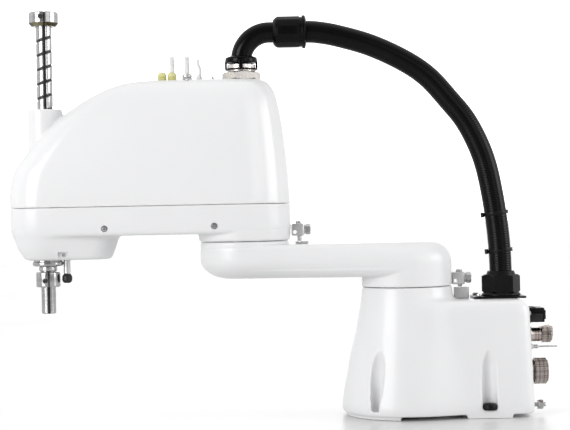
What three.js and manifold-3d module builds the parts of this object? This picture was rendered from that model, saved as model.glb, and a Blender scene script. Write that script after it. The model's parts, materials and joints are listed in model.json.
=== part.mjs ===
// A four-axis scara robot arm, stretched out along -X from its base.
// Millimetres, +Z up. The origin is on the first joint's axis, in the plane that the base stands on.
import * as THREE from 'three';
import { mergeVertices } from 'three/addons/utils/BufferGeometryUtils.js';
import Module from 'manifold-3d';

const wasm = await Module();
wasm.setup();

// ---- Driving dimensions ----
const LINK_1 = 225; // first joint's axis to second joint's axis
const LINK_2 = 275; // second joint's axis to the quill's axis
const GAP = 0.3; // clearance between neighbouring pieces

const BASE_FLOOR = 5; // underside of the base casting, above its foot pads
const BASE_NECK_TOP = 176.6;
const BASE_BOX_TOP = 158;
const BASE_REAR = 166; // rear wall, from the first joint's axis
const BASE_BOX_HALF = 78; // half width of the rear box at its foot
const CONDUIT_X = 131.6; // where the conduit enters the base

const HUB_RADIUS = 62.5; // hub of the first arm
const ARM1_BOTTOM = 177.4;
const BEAM_BOTTOM = 192;
const BEAM_TOP = 238.5;
const ARM1_SEAT_TOP = 243.4;
const ARM1_END_RADIUS = 62;

const ARM2_BOTTOM = 244.2;
const ARM2_REAR_RADIUS = 65;
const ARM2_NOSE_RADIUS = 51;
const ARM2_UNDERSIDE = 255;
const ARM2_FLOOR = 262; // inside floor of the second arm's casting
const NOSE_BOTTOM = 223.4;
const SEAM = 295; // where the cover meets the casting
const COVER_WALL = 3.5;
const COVER_TOP = 470;
const GLAND_SEAT = 468; // flat seat for the conduit gland on the cover
const SLEEVE_RADIUS = 24;
const SLEEVE_BORE = 22;
const SLEEVE_BOTTOM = 342;
const SLEEVE_TOP = 432;

const SHAFT_RADIUS = 11;
const SHAFT_END_RADIUS = 10; // below the shoulder that the stop collar sits against
const SHAFT_SHOULDER = 206.7;
const SHAFT_BOTTOM = 148;
const SHAFT_TOP = 568;
const SHAFT_BORE = 11.4; // running bore round the shaft

const HOSE_RADIUS = 15.5;
const ELBOW_BEND = 39;
const ELBOW_BOTTOM = 493.3;
const BEND_START = ELBOW_BOTTOM + 2; // the bend starts inside the elbow's collar
const ELBOW_AXIS_Z = BEND_START + ELBOW_BEND;

const BIG_SIDES = 36; // facets round a large turned piece
const MID_SIDES = 24;
const SMALL_SIDES = 12;

// ---- Geometry helpers ----

// Merges a geometry's shared points, drops its empty triangles and turns its faces outwards.
function clean(geometry) {
  const bare = geometry.clone();
  bare.deleteAttribute('normal');
  bare.deleteAttribute('uv');
  const merged = mergeVertices(bare, 1e-3);
  const corners = merged.getIndex().array;
  const kept = [];
  for (let i = 0; i < corners.length; i += 3) {
    const [a, b, c] = [corners[i], corners[i + 1], corners[i + 2]];
    if (a !== b && b !== c && c !== a) kept.push(a, b, c);
  }
  merged.setIndex(kept);
  return signedVolume(merged) < 0 ? flipped(merged) : merged;
}

function signedVolume(geometry) {
  const place = geometry.getAttribute('position');
  const corners = geometry.getIndex().array;
  const [a, b, c] = [new THREE.Vector3(), new THREE.Vector3(), new THREE.Vector3()];
  let volume = 0;
  for (let i = 0; i < corners.length; i += 3) {
    a.fromBufferAttribute(place, corners[i]);
    b.fromBufferAttribute(place, corners[i + 1]);
    c.fromBufferAttribute(place, corners[i + 2]);
    volume += a.dot(b.cross(c)) / 6;
  }
  return volume;
}

function flipped(geometry) {
  const corners = Array.from(geometry.getIndex().array);
  for (let i = 0; i < corners.length; i += 3) {
    [corners[i + 1], corners[i + 2]] = [corners[i + 2], corners[i + 1]];
  }
  geometry.setIndex(corners);
  return geometry;
}

function toSolid(geometry) {
  const whole = clean(geometry);
  return new wasm.Manifold(new wasm.Mesh({
    numProp: 3,
    vertProperties: new Float32Array(whole.getAttribute('position').array),
    triVerts: new Uint32Array(whole.getIndex().array),
  }));
}

function toGeometry(solid) {
  const mesh = solid.getMesh();
  const geometry = new THREE.BufferGeometry();
  geometry.setAttribute('position', new THREE.BufferAttribute(mesh.vertProperties, 3));
  geometry.setIndex(new THREE.BufferAttribute(mesh.triVerts, 1));
  return geometry;
}

function join(first, ...others) {
  return toGeometry(others.reduce((solid, other) => solid.add(toSolid(other)), toSolid(first)));
}

function cut(first, ...others) {
  return toGeometry(others.reduce((solid, other) => solid.subtract(toSolid(other)), toSolid(first)));
}

// A body turned about Z from a profile of [radius, height] points.
function turned(profile, sides = MID_SIDES) {
  const points = profile.map(([radius, height]) => new THREE.Vector2(radius, height));
  return new THREE.LatheGeometry(points, sides).rotateX(Math.PI / 2);
}

function disc(radius, bottom, top, sides) {
  return turned([[0, bottom], [radius, bottom], [radius, top], [0, top]], sides);
}

function pipe(outer, inner, bottom, top, sides) {
  const profile = [[inner, bottom], [outer, bottom], [outer, top], [inner, top], [inner, bottom]];
  return turned(profile, sides);
}

// A box between two limits on each axis.
function block([x0, x1], [y0, y1], [z0, z1]) {
  const box = new THREE.BoxGeometry(x1 - x0, y1 - y0, z1 - z0);
  return box.translate((x0 + x1) / 2, (y0 + y1) / 2, (z0 + z1) / 2);
}

// Turns a body built along Z so that it points along +X.
function alongX(geometry) {
  return geometry.rotateY(Math.PI / 2);
}

// A closed skin over a stack of rings that all have the same number of points.
function skin(rings) {
  const count = rings[0].length;
  const middle = (ring) => ring.reduce((sum, p) => sum.add(p), new THREE.Vector3()).divideScalar(count);
  const points = [...rings.flat(), middle(rings[0]), middle(rings.at(-1))];
  const first = rings.length * count;
  const faces = [];
  for (let j = 0; j < count; j += 1) {
    const next = (j + 1) % count;
    for (let i = 0; i + 1 < rings.length; i += 1) {
      const [a, b] = [i * count + j, i * count + next];
      faces.push(a, b, b + count, a, b + count, a + count);
    }
    faces.push(first, next, j);
    faces.push(first + 1, first - count + j, first - count + next);
  }
  const geometry = new THREE.BufferGeometry().setFromPoints(points);
  geometry.setIndex(faces);
  return geometry;
}

// One level of an arm: a rear arc and a front arc in plan, joined by the lines that touch both.
function armRing(z, rearX, rearRadius, frontX, frontRadius, steps) {
  const lean = Math.acos((frontRadius - rearRadius) / (rearX - frontX));
  const ring = [];
  for (let i = 0; i <= steps; i += 1) {
    const angle = -lean + (2 * lean * i) / steps;
    ring.push(new THREE.Vector3(rearX + rearRadius * Math.cos(angle), rearRadius * Math.sin(angle), z));
  }
  for (let i = 0; i <= steps; i += 1) {
    const angle = lean + (2 * (Math.PI - lean) * i) / steps;
    ring.push(new THREE.Vector3(frontX + frontRadius * Math.cos(angle), frontRadius * Math.sin(angle), z));
  }
  return ring;
}

// An arm body over levels of [height, rear centre, rear radius, front centre, front radius].
function armLoft(levels, steps = 12) {
  return skin(levels.map((level) => armRing(...level, steps)));
}

// One level of a box with rounded corners.
function boxRing(z, x0, x1, half, corner, steps = 4) {
  const centres = [[x1 - corner, half - corner], [x0 + corner, half - corner],
    [x0 + corner, corner - half], [x1 - corner, corner - half]];
  return centres.flatMap(([x, y], quarter) => Array.from({ length: steps + 1 }, (_, i) => {
    const angle = (Math.PI / 2) * (quarter + i / steps);
    return new THREE.Vector3(x + corner * Math.cos(angle), y + corner * Math.sin(angle), z);
  }));
}

// How far an edge that rounds over by `reach` has drawn in after `rise` of its `height`.
function roundedIn(rise, height, reach) {
  const part = Math.min(Math.max(rise / height, 0), 1);
  return reach * (1 - Math.sqrt(1 - part * part));
}

// A round bar along a curve.
function bar(curve, radius, steps, sides) {
  const section = new THREE.Shape();
  for (let i = 0; i < sides; i += 1) {
    const angle = (2 * Math.PI * i) / sides;
    const [x, y] = [radius * Math.cos(angle), radius * Math.sin(angle)];
    if (i === 0) section.moveTo(x, y);
    else section.lineTo(x, y);
  }
  section.closePath();
  return new THREE.ExtrudeGeometry(section, { steps, bevelEnabled: false, extrudePath: curve });
}

// ---- Finishes ----
const finish = (color, roughness, metalness) => new THREE.MeshStandardMaterial({ color, roughness, metalness });
const PAINT = finish(0xf1f1ef, 0.35, 0);
const STEEL = finish(0xb9bbbd, 0.25, 1);
const CAST_METAL = finish(0x9a9b9c, 0.5, 0.9);
const BLACK_PLASTIC = finish(0x131314, 0.5, 0);
const HOSE_PLASTIC = finish(0x0c0c0d, 0.6, 0);
const FITTING_YELLOW = finish(0xbfae3a, 0.45, 0);
const PALE_TUBE = finish(0xdcdccf, 0.4, 0);
const BELT_RUBBER = finish(0x1c1c1c, 0.8, 0);
const MOTOR_BLACK = finish(0x26272a, 0.5, 0.3);

// ---- Scene graph: one group for each moving body ----
const robot = new THREE.Group();
const base = new THREE.Group();
const arm1 = new THREE.Group();
const arm2 = new THREE.Group(); // its own origin is on the second joint's axis
arm2.position.x = -LINK_1;
const wrist = new THREE.Group(); // its own origin is on the quill's axis
wrist.position.x = -LINK_2;
arm2.add(wrist);
robot.add(base, arm1, arm2);

function place(parent, name, geometry, material, x = 0, y = 0, z = 0) {
  const shape = clean(geometry);
  shape.computeVertexNormals();
  const mesh = new THREE.Mesh(shape, material.clone());
  mesh.name = name;
  mesh.position.set(x, y, z);
  parent.add(mesh);
  return mesh;
}

// ---- Base ----
const J1_HOUSING_RADIUS = 48;
const J1_HUB_RADIUS = 34;
const J1_HOUSING_BOTTOM = 139;
const CAVITY_HALF = 46; // half width of the space inside the base
const PANEL_FACE = 163.2; // outer face of the rear panel
const PANEL_HALF = 45.7;
// Mounting bolt pockets: X, Y, where the sides start to close in, and the point.
const POCKETS = [[103, 74, 76, 95], [103, -74, 76, 95], [-47, 69.5, 90, 107], [-47, -69.5, 90, 107]];
const POCKET_RADIUS = 10.5;
const POCKET_FLOOR = 11;
const BOLT_HOLE_RADIUS = 4.5;
const HOLE_INSET = 3; // how far a bolt hole's axis lies inside its pocket's

function baseCasting() {
  const column = turned([[0, BASE_FLOOR], [91.5, BASE_FLOOR], [93.5, 13], [88.8, 42], [84.4, 64], [80, 86],
    [72.5, 117], [65.5, 153], [HUB_RADIUS, BASE_NECK_TOP], [0, BASE_NECK_TOP]], BIG_SIDES);
  // The rear box: height, rear wall and half width at each level.
  const walls = [[BASE_FLOOR, BASE_REAR, BASE_BOX_HALF - 1], [13, BASE_REAR, BASE_BOX_HALF], [85, 164.6, 72],
    [142, 163.4, 66], [151, 160.5, 64], [156, 154, 60], [BASE_BOX_TOP, 148, 56]];
  const box = skin(walls.map(([z, rear, half]) => boxRing(z, 0, rear, half, 18)));
  const padTop = BASE_FLOOR + 1;
  const padCut = block([-17.6, 100], [-100, 100], [-1, padTop + 1]);
  const frontPad = cut(disc(88, 0, padTop, BIG_SIDES), padCut);
  const rearPad = block([72.6, 133.7], [-76.7, 76.7], [0, padTop]);
  const centrePad = disc(26, 0, padTop, MID_SIDES);
  const body = join(column, box, frontPad, rearPad, centrePad);
  const cavity = block([-36, 157], [-CAVITY_HALF, CAVITY_HALF], [16, 147]);
  const rearOpening = block([150, 172], [-CAVITY_HALF, CAVITY_HALF], [28, 147]);
  const neckBore = disc(J1_HOUSING_RADIUS + GAP, J1_HOUSING_BOTTOM - GAP, BASE_NECK_TOP + 1, BIG_SIDES);
  const pocket = (shoulder, point) => turned([[0, POCKET_FLOOR], [POCKET_RADIUS, POCKET_FLOOR],
    [POCKET_RADIUS, shoulder], [0, point]]);
  const boltHole = disc(BOLT_HOLE_RADIUS, -1, POCKET_FLOOR + 1, SMALL_SIDES);
  const pockets = POCKETS.flatMap(([x, y, ...heights]) => (
    [pocket(...heights).translate(x, y, 0), boltHole.clone().translate(x, y - Math.sign(y) * HOLE_INSET, 0)]));
  return cut(body, cavity, rearOpening, neckBore, ...pockets);
}

function makeBase() {
  place(base, 'base_casting', baseCasting(), PAINT);
  place(base, 'rear_panel', block([159, PANEL_FACE], [-PANEL_HALF, PANEL_HALF], [28.3, 146.7]), CAST_METAL);
  makeConnectors();
  POCKETS.slice(0, 2).forEach(([x, y], i) => {
    const plug = turned([[0, 0], [9, 0], [9, 6], [7, 9], [0, 9]], SMALL_SIDES);
    place(base, `pocket_plug_${i + 1}`, plug, BLACK_PLASTIC, x, y, POCKET_FLOOR + GAP);
  });
  const motor = turned([[0, 62], [26, 62], [30, 66], [30, 128], [35, 130], [35, 138.4], [0, 138.4]]);
  place(base, 'j1_motor', motor, MOTOR_BLACK);
  const housing = pipe(J1_HOUSING_RADIUS, J1_HUB_RADIUS + 0.5, J1_HOUSING_BOTTOM, 176, BIG_SIDES);
  place(base, 'j1_gear_housing', housing, STEEL);
  place(base, 'zero_block_base', block([65.8, 86], [-7, 7], [BASE_BOX_TOP + GAP, 174]), CAST_METAL);
}

// Everything that stands out of the rear panel, pointing to +X.
function makeConnectors() {
  const face = PANEL_FACE + GAP;
  const shell = block([0, 22], [-19, 19], [-9.8, 9.8]);
  const latch = block([22, 24.5], [-15, 15], [-6.5, 6.5]);
  place(base, 'power_connector', join(shell, latch), BLACK_PLASTIC, face, -18, 135);
  const signal = turned([[0, 0], [12, 0], [12, 5], [9, 6], [9, 18], [11, 20], [11, 33], [0, 33]], MID_SIDES);
  place(base, 'signal_connector', alongX(signal), STEEL, face, -24, 107.4);
  const inlet = [[0, 0], [6.5, 0], [6.5, 14], [5, 16], [5, 22], [8, 36], [8, 39], [3.2, 39], [3.2, 30], [0, 30]];
  place(base, 'air_inlet_1', alongX(turned(inlet, SMALL_SIDES)), CAST_METAL, face, 4, 109);
  place(base, 'air_inlet_2', alongX(turned(inlet, SMALL_SIDES)), CAST_METAL, face, 26, 109);
  const motorPlug = turned([[0, 0], [18, 0], [18, 6], [14, 7], [14, 11], [18, 13], [18, 26.7], [0, 26.7]],
    MID_SIDES);
  place(base, 'motor_connector', alongX(motorPlug), STEEL, face, -20, 57);
  const bolt = turned([[0, 0], [3, 0], [3, 8], [7, 8], [7, 14], [3.5, 14], [3.5, 18], [0, 18]], SMALL_SIDES);
  place(base, 'ground_bolt', alongX(bolt), STEEL, BASE_REAR + GAP, -40, 13);
}

// ---- Conduit on the base ----
const GASKET_TOP = 161;
const GLAND_TOP = 192;
const TIE_HEIGHT = 6;
// The hose's centre line, from the coupling over the arm down to the base.
const HOSE_ROUTE = [[-133.4, 534.3], [-118, 533.2], [-91, 528], [-45, 514], [1, 492], [35, 468], [65, 434],
  [86, 407], [103, 374], [114, 342], [122, 302], [127.5, 262], [130.5, 227], [131.6, 193.2]];
// The two ties: [centre X, centre Z, lean of the hose there in degrees].
const TIES = { hose_tie_upper: [125.7, 276, 7.5], hose_tie_lower: [130.6, 224, 3] };

function makeConduitBase() {
  const plate = skin([BASE_BOX_TOP + GAP, GASKET_TOP].map((z) => boxRing(z, 91, 163, 30, 6, 3)));
  place(base, 'gland_gasket', plate, BLACK_PLASTIC);
  [[98, -22], [98, 22]].forEach(([x, y], i) => {
    place(base, `gasket_screw_${i + 1}`, disc(4, 0, 3.2, SMALL_SIDES), STEEL, x, y, GASKET_TOP + GAP);
  });
  const gland = [[12, GASKET_TOP + GAP], [26.5, GASKET_TOP + GAP], [26.5, 168], [24.5, 170], [24.5, 182],
    [21, 184], [19.5, GLAND_TOP], [12, GLAND_TOP], [12, GASKET_TOP + GAP]];
  place(base, 'conduit_gland_base', turned(gland), BLACK_PLASTIC, CONDUIT_X);
  const route = new THREE.CatmullRomCurve3(HOSE_ROUTE.map(([x, z]) => new THREE.Vector3(x, 0, z)));
  place(base, 'conduit_hose', bar(route, HOSE_RADIUS, 26, SMALL_SIDES), HOSE_PLASTIC);
  for (const [name, [x, z, lean]] of Object.entries(TIES)) {
    const band = pipe(HOSE_RADIUS + 3, HOSE_RADIUS + 1, -TIE_HEIGHT / 2, TIE_HEIGHT / 2, SMALL_SIDES);
    const tie = place(base, name, band, BLACK_PLASTIC, x, 0, z);
    tie.rotation.y = THREE.MathUtils.degToRad(-lean);
  }
}

// ---- First arm ----
const J2_HUB_RADIUS = 30;
const J2_HUB_BOTTOM = 222;
const J1_HUB_TOP = 200;

function arm1Casting() {
  const heights = [BEAM_BOTTOM, 193.2, 196, 200, 205, 212, 220, 226, 231, 235, 237.4, BEAM_TOP];
  const beam = armLoft(heights.map((z) => {
    const rear = HUB_RADIUS - roundedIn(204 - z, 12, 12) - roundedIn(z - 211, 28, 28);
    const front = ARM1_END_RADIUS - roundedIn(220 - z, 28, 40) - roundedIn(z - 232, 6.6, 6.6);
    return [z, 0, rear, -LINK_1, front];
  }));
  const hub = disc(HUB_RADIUS, ARM1_BOTTOM, 211, BIG_SIDES);
  const seatRadius = ARM1_END_RADIUS - 0.5;
  const seat = turned([[0, 236], [seatRadius, 236], [seatRadius, 242], [seatRadius - 1.4, ARM1_SEAT_TOP],
    [0, ARM1_SEAT_TOP]], BIG_SIDES).translate(-LINK_1, 0, 0);
  const hubBore = disc(J1_HUB_RADIUS + GAP, ARM1_BOTTOM - 1, J1_HUB_TOP + GAP, BIG_SIDES);
  const endBore = disc(J2_HUB_RADIUS + GAP, J2_HUB_BOTTOM - GAP, ARM1_SEAT_TOP + 1, BIG_SIDES);
  return cut(join(beam, hub, seat), hubBore, endBore.translate(-LINK_1, 0, 0));
}

function makeArm1() {
  place(arm1, 'arm1_casting', arm1Casting(), PAINT);
  place(arm1, 'j1_output_hub', disc(J1_HUB_RADIUS, 142, J1_HUB_TOP, BIG_SIDES), STEEL);
  place(arm1, 'j2_output_hub', disc(J2_HUB_RADIUS, J2_HUB_BOTTOM, 258, BIG_SIDES), STEEL, -LINK_1);
  makeZeroLug(arm1, 'arm1', HUB_RADIUS, 178, 174.7);
  place(arm1, 'zero_pad_arm1', block([-154, -136], [-8, 8], [BEAM_TOP + GAP, 242]), CAST_METAL);
}

// A lug with a pin below it and a hexagon bolt at its end: it marks the joint's zero position.
function makeZeroLug(arm, owner, radius, bottom, pinBottom) {
  const start = radius + 0.8;
  const body = block([start, start + 17], [-8, 8], [bottom, bottom + 17]);
  const pin = disc(3, pinBottom, bottom + 1, SMALL_SIDES).translate(start + 11, 0, 0);
  place(arm, `zero_lug_${owner}`, join(body, pin), CAST_METAL);
  const bolt = turned([[0, 0], [4, 0], [4, 3], [7, 3], [7, 9], [0, 9]], 6);
  place(arm, `zero_bolt_${owner}`, alongX(bolt), STEEL, start + 17 + GAP, 0, bottom + 9);
}

// ---- Second arm (local X = 0 on the second joint's axis, the quill at -LINK_2) ----
const J2_HOUSING_RADIUS = 44;
const J2_HOUSING_TOP = 268;
const NUT_RADIUS = 19;
const ARM2_WALL = 5;

function arm2Casting() {
  const tray = armLoft([[ARM2_UNDERSIDE, 4], [256.5, 1.5], [260, 0], [SEAM, 0]].map(([z, inset]) => (
    [z, 0, ARM2_REAR_RADIUS - inset, -LINK_2, ARM2_NOSE_RADIUS - inset])));
  const boss = turned([[0, ARM2_BOTTOM], [61.5, ARM2_BOTTOM], [63.5, 246.5], [64.4, 258], [0, 258]], BIG_SIDES);
  // The nose boss holds the quill's spline nut: height, rear centre, its radius, radius at the quill.
  const nose = armLoft([[NOSE_BOTTOM, -215, 27, 29], [227, -215, 30, 32.5], [238, -214, 33, 40],
    [ARM2_UNDERSIDE, -213, 38, 46], [260, -213, 40, 50]].map(([z, rearX, rear, front]) => (
    [z, rearX, rear, -LINK_2, front])));
  const inside = armLoft([ARM2_FLOOR, SEAM + 1].map((z) => (
    [z, 0, ARM2_REAR_RADIUS - ARM2_WALL, -LINK_2, ARM2_NOSE_RADIUS - ARM2_WALL])));
  const driveBore = disc(J2_HOUSING_RADIUS + GAP, ARM2_BOTTOM - 1, ARM2_FLOOR + 1, BIG_SIDES);
  const nutBore = disc(NUT_RADIUS + GAP, NOSE_BOTTOM - 1, ARM2_FLOOR + 1).translate(-LINK_2, 0, 0);
  return cut(join(tray, boss, nose), inside, driveBore, nutBore);
}

// The cover's outline: height, rear centre, rear radius, front centre, front radius.
const COVER_LEVELS = [[SEAM + GAP, 0, 65, -275, 51], [317, -0.4, 64.6, -275, 51], [344, -1, 63.4, -270, 50],
  [368, -1.5, 61.8, -256, 47.5], [395, -2.5, 59.6, -238, 44], [419, -3, 56.6, -215, 41], [434, -3, 53.4, -196, 38],
  [446, -2, 49.6, -181, 34], [457, -1, 43.6, -164, 29], [464, 0, 37, -150, 23], [468, 0, 28.4, -136, 16],
  [COVER_TOP, -4, 17, -115, 10]];

function arm2Cover() {
  const outside = armLoft(COVER_LEVELS, 14);
  const inside = armLoft(COVER_LEVELS.map(([z, rearX, rear, frontX, front], i) => (
    [i === 0 ? SEAM - 6 : z - COVER_WALL, rearX, rear - COVER_WALL, frontX, front - COVER_WALL])), 14);
  const seatBoss = disc(29, GLAND_SEAT - 8, GLAND_SEAT, MID_SIDES);
  const seatCut = disc(27.8, GLAND_SEAT, COVER_TOP + 1, BIG_SIDES);
  const sleeveHole = disc(SLEEVE_RADIUS + GAP, SLEEVE_BOTTOM, SLEEVE_TOP + 1, BIG_SIDES).translate(-LINK_2, 0, 0);
  return cut(join(cut(outside, inside), seatBoss), seatCut, sleeveHole);
}

function makeArm2() {
  place(arm2, 'arm2_casting', arm2Casting(), PAINT);
  place(arm2, 'arm2_cover', arm2Cover(), PAINT);
  place(wrist, 'quill_sleeve', pipe(SLEEVE_RADIUS, SLEEVE_BORE, SLEEVE_BOTTOM, SLEEVE_TOP, BIG_SIDES), PAINT);
  const housing = pipe(J2_HOUSING_RADIUS, J2_HUB_RADIUS + 0.5, 246, J2_HOUSING_TOP, BIG_SIDES);
  place(arm2, 'j2_gear_housing', housing, STEEL);
  const motor = turned([[0, 0], [42, 0], [42, 7], [28, 9], [28, 72], [24, 76], [0, 76]]);
  place(arm2, 'j2_motor', motor, MOTOR_BLACK, 0, 0, J2_HOUSING_TOP + GAP);
  makeZeroLug(arm2, 'arm2', ARM2_REAR_RADIUS, 250, 242.7);
  makeTopFittings();
  makeNose();
}

// Hose and cable fittings on top of the cover, from the front to the rear.
function makeTopFittings() {
  const seat = COVER_TOP + GAP;
  const push = (radius, height, waist) => turned([[0, 0], [radius, 0], [radius, height * 0.45],
    [waist, height * 0.55], [waist, height * 0.75], [radius * 0.8, height], [0, height]], SMALL_SIDES);
  place(arm2, 'air_fitting_1', push(6.3, 10.5, 4.6), FITTING_YELLOW, -111, 0, seat);
  place(arm2, 'air_fitting_2', push(6.3, 10.5, 4.6), FITTING_YELLOW, -97, 0, seat);
  place(arm2, 'air_tube', disc(3.2, 0, 21.5, SMALL_SIDES), PALE_TUBE, -97, 0, seat + 10.5 + GAP);
  place(arm2, 'port_fitting', push(6.8, 8.7, 5), CAST_METAL, -76, 0, seat);
  place(arm2, 'port_tube', disc(3.2, 0, 23, SMALL_SIDES), PALE_TUBE, -76, 0, seat + 8.7 + GAP);
  const vent = turned([[0, 0], [4, 0], [4, 5.5], [1.6, 6.5], [1.6, 28], [0, 28]], SMALL_SIDES);
  place(arm2, 'signal_stub', vent, STEEL, -58, 0, seat);
}

// The fixed pieces round the quill: flange, seal, stop post, brackets and drive motors.
const MOTOR_X = -185;
const MOTOR_SIDE = 24; // the two drive motors stand side by side, this far off the centre line
const MOTOR_RADIUS = 22;
const NUT_PULLEY_RADIUS = 22;
const MOTOR_PULLEY_RADIUS = 10;
const BELT_THICKNESS = 1.7;
const J4_BELT = [264.5, 273.5]; // bottom and top of the turning belt
const J3_BELT = [323.5, 332.5]; // bottom and top of the lifting belt

function makeNose() {
  place(wrist, 'nose_flange', pipe(21.4, 11.8, 214, NOSE_BOTTOM - GAP, MID_SIDES), STEEL);
  place(wrist, 'quill_seal', pipe(12.6, SHAFT_BORE, 207.2, 213.7, MID_SIDES), STEEL);
  place(arm2, 'stop_post', disc(4.8, 203, NOSE_BOTTOM - GAP, SMALL_SIDES), CAST_METAL, -248.7);
  const screw = turned([[0, 190], [5, 190], [7, 192], [7, 200.5], [5, 202.7], [0, 202.7]], SMALL_SIDES);
  place(arm2, 'stop_post_screw', screw, BLACK_PLASTIC, -248.7);
  place(wrist, 'nut_bracket', nutBracket(), CAST_METAL);
  place(arm2, 'j4_motor_bracket', motorBracket(), CAST_METAL);
  const lower = turned([[0, ARM2_FLOOR + GAP], [MOTOR_RADIUS, ARM2_FLOOR + GAP], [MOTOR_RADIUS, 314], [18, 318],
    [0, 318]]);
  place(arm2, 'j3_motor', lower, MOTOR_BLACK, MOTOR_X, MOTOR_SIDE);
  const upper = turned([[0, 279.9], [MOTOR_RADIUS, 279.9], [MOTOR_RADIUS, 342], [18, 346], [0, 346]]);
  place(arm2, 'j4_motor', upper, MOTOR_BLACK, MOTOR_X, -MOTOR_SIDE);
  place(wrist, 'j3_belt', belt(J3_BELT, MOTOR_SIDE), BELT_RUBBER);
  place(wrist, 'j4_belt', belt(J4_BELT, -MOTOR_SIDE), BELT_RUBBER);
}

// A yoke on two legs that carries the ball nut's bearing ring.
function nutBracket() {
  const plate = block([-12, 12], [-40, 40], [300, 306]);
  const legs = [-37, 37].map((y) => block([-9, 9], [y - 3, y + 3], [ARM2_FLOOR + GAP, 301]));
  return cut(join(plate, disc(26, 300, 306), ...legs), disc(18.4, 299, 307));
}

function motorBracket() {
  const plate = block([MOTOR_X - 24, MOTOR_X + 24], [-47, -1.5], [276, 279.6]);
  const legs = [MOTOR_X - 21, MOTOR_X + 21].map((x) => (
    block([x - 3, x + 3], [-47, -41], [ARM2_FLOOR + GAP, 277])));
  return cut(join(plate, ...legs), disc(8, 275, 281, SMALL_SIDES).translate(MOTOR_X, -MOTOR_SIDE, 0));
}

// A belt's outline round the nut pulley and the motor pulley, `offset` outside both.
function beltRing(z, side, offset) {
  const span = Math.hypot(MOTOR_X + LINK_2, side);
  const ring = armRing(z, 0, NUT_PULLEY_RADIUS + offset, -span, MOTOR_PULLEY_RADIUS + offset, 10);
  const turn = Math.atan2(side, MOTOR_X + LINK_2) + Math.PI;
  return ring.map((point) => point.applyAxisAngle(new THREE.Vector3(0, 0, 1), turn));
}

function belt([bottom, top], side) {
  const inner = GAP + 0.1;
  const outside = skin([bottom, top].map((z) => beltRing(z, side, inner + BELT_THICKNESS)));
  return cut(outside, skin([bottom - 1, top + 1].map((z) => beltRing(z, side, inner))));
}

// ---- Quill and its two nuts ----
function makeQuill() {
  const nut = [[SHAFT_BORE, 224], [NUT_RADIUS, 224], [NUT_RADIUS, 262.8], [NUT_PULLEY_RADIUS, 262.8],
    [NUT_PULLEY_RADIUS, 275], [SHAFT_BORE, 275], [SHAFT_BORE, 224]];
  place(wrist, 'spline_nut', turned(nut), STEEL);
  const ballNut = [[SHAFT_BORE, 284], [18, 284], [18, 322], [NUT_PULLEY_RADIUS, 322], [NUT_PULLEY_RADIUS, 334],
    [SHAFT_BORE, 334], [SHAFT_BORE, 284]];
  place(wrist, 'ball_nut', turned(ballNut), STEEL);
  const shaft = [[0, SHAFT_BOTTOM], [SHAFT_END_RADIUS - 1, SHAFT_BOTTOM], [SHAFT_END_RADIUS, SHAFT_BOTTOM + 1],
    [SHAFT_END_RADIUS, SHAFT_SHOULDER], [SHAFT_RADIUS, SHAFT_SHOULDER], [SHAFT_RADIUS, SHAFT_TOP - 1],
    [SHAFT_RADIUS - 1, SHAFT_TOP], [0, SHAFT_TOP]];
  place(wrist, 'quill_shaft', turned(shaft), STEEL);
  const ring = [[11.3, 548], [17.5, 548], [20.5, 551], [20.5, 566.5], [19, 568], [11.3, 568], [11.3, 548]];
  place(wrist, 'top_stop_ring', turned(ring), STEEL);
  const collar = [[10.3, 185], [15.8, 185], [16.8, 186], [16.8, 205.5], [15.8, 206.4], [10.3, 206.4], [10.3, 185]];
  place(wrist, 'stop_collar', turned(collar), STEEL);
  const screw = turned([[0, 0], [3.2, 0], [3.2, 1.6], [0, 1.6]], SMALL_SIDES).rotateX(Math.PI / 2);
  place(wrist, 'collar_screw', screw, BLACK_PLASTIC, 0, -17.1, 194);
}

// Each drive motor's pulley on its short shaft.
function makeMotorPulleys() {
  const lifting = turned([[0, 318.3], [4, 318.3], [4, 322], [MOTOR_PULLEY_RADIUS, 322], [MOTOR_PULLEY_RADIUS, 334],
    [0, 334]]);
  place(arm2, 'j3_motor_pulley', lifting, CAST_METAL, MOTOR_X, MOTOR_SIDE);
  const turning = turned([[0, 263], [MOTOR_PULLEY_RADIUS, 263], [MOTOR_PULLEY_RADIUS, 275], [4, 275], [4, 279.6],
    [0, 279.6]]);
  place(arm2, 'j4_motor_pulley', turning, CAST_METAL, MOTOR_X, -MOTOR_SIDE);
}

// ---- Conduit on the second arm: a fixed gland, and an elbow that swivels in it ----
function makeConduitArm() {
  const gland = turned([[0, 468.3], [27, 468.3], [27, 479], [25, 481], [22.4, 481], [22.4, 493], [0, 493]]);
  place(arm2, 'conduit_gland_arm', gland, CAST_METAL);
  const bend = new THREE.EllipseCurve(ELBOW_BEND, BEND_START, ELBOW_BEND, ELBOW_BEND, Math.PI, Math.PI / 2, true);
  const path = new THREE.CatmullRomCurve3([...bend.getPoints(8), new THREE.Vector2(44.7, ELBOW_AXIS_Z)]
    .map((point) => new THREE.Vector3(point.x, 0, point.y)));
  const collar = disc(21, ELBOW_BOTTOM, 501, MID_SIDES);
  place(arm2, 'conduit_elbow', join(collar, bar(path, 14.5, 12, 16)), HOSE_PLASTIC);
  const coupling = turned([[0, 0], [18, 0], [22, 4], [22, 40], [23, 41], [23, 45], [0, 45]]);
  place(arm2, 'hose_coupling', alongX(coupling), HOSE_PLASTIC, 45, 0, ELBOW_AXIS_Z);
}

makeBase();
makeConduitBase();
makeArm1();
makeArm2();
makeQuill();
makeMotorPulleys();
makeConduitArm();

export default robot;
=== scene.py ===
"""The looks of a four-axis scara robot arm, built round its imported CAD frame."""
import json
import math

import bmesh
import bpy
from mathutils import Matrix, Vector


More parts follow.
